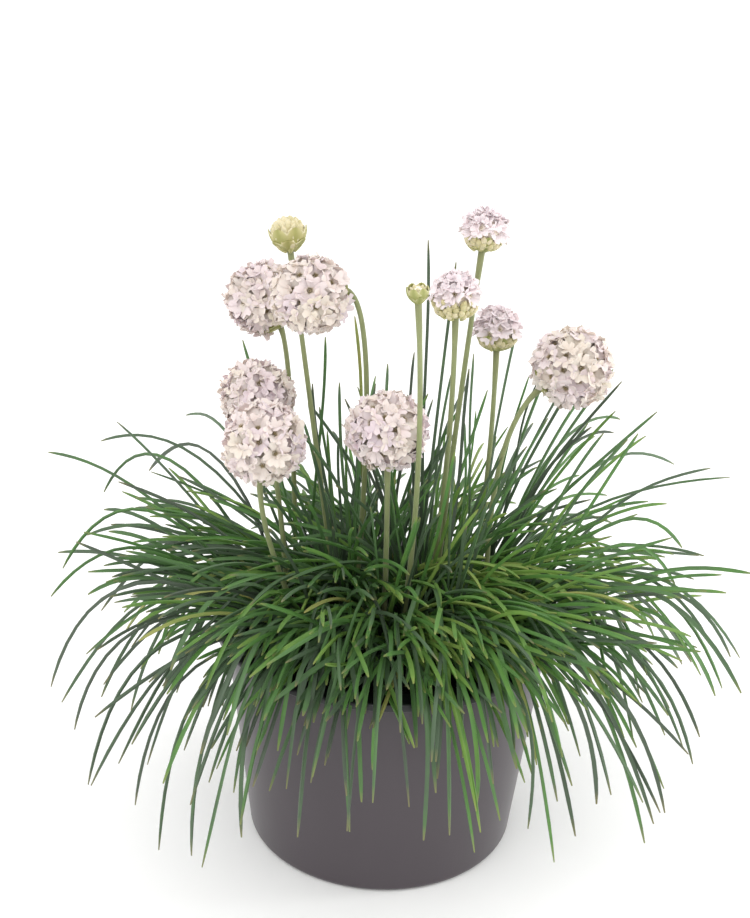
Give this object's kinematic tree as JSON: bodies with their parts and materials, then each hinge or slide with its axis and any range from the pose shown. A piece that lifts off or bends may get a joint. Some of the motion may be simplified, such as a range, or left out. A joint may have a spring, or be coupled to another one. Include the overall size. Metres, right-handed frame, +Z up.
{
  "type": "potted sea thrift",
  "caption": "Sea thrift in flower: a cushion of narrow grassy leaves and pale ball-shaped heads on bare stems, in a black grower's pot hung in a taupe cover pot.",
  "frame": {"origin": "centre of the cover pot's base, on the surface that it stands on", "axes": "+Z up; -Y towards the camera of the picture, +X to the picture's right"},
  "size_m": [0.262, 0.2269, 0.2432],
  "materials": {
    "cover_plastic": "injection-moulded taupe polypropylene, satin to glossy",
    "grower_plastic": "thin black recycled polypropylene, matt",
    "peat": "dark moist peat compost with pale grains",
    "leaf": "narrow grassy leaf, mid green, faintly waxy",
    "stem": "soft olive green flower stalk and bracts, fine down",
    "petal": "papery white petals with a faint pink tint",
    "bud_petal": "closed cream to yellow-green petals"
  },
  "bodies": {
    "root": {"cover_pot": "cover_plastic", "grower_pot": "grower_plastic", "soil": "peat", "leaf_tuft_a": "leaf", "leaf_tuft_b": "leaf", "leaf_tuft_c": "leaf", "leaf_tuft_d": "leaf", "leaf_tuft_e": "leaf", "leaf_tuft_f": "leaf", "leaf_tuft_g": "leaf", "leaf_tuft_h": "leaf", "leaf_tuft_i": "leaf", "leaf_tuft_j": "leaf", "flower_stem_1": "stem", "flower_head_1": "bud_petal", "flower_stem_2": "stem", "flower_head_2": "petal", "flower_stem_3": "stem", "flower_head_3": "petal", "flower_stem_4": "stem", "flower_head_4": "petal", "flower_stem_5": "stem", "flower_head_5": "petal", "flower_stem_6": "stem", "flower_head_6": "petal", "flower_stem_7": "stem", "flower_head_7": "bud_petal", "flower_stem_8": "stem", "flower_head_8": "petal", "flower_stem_9": "stem", "flower_head_9": "petal", "flower_stem_10": "stem", "flower_head_10": "petal", "flower_stem_11": "stem", "flower_head_11": "petal"}
  },
  "joints": []
}
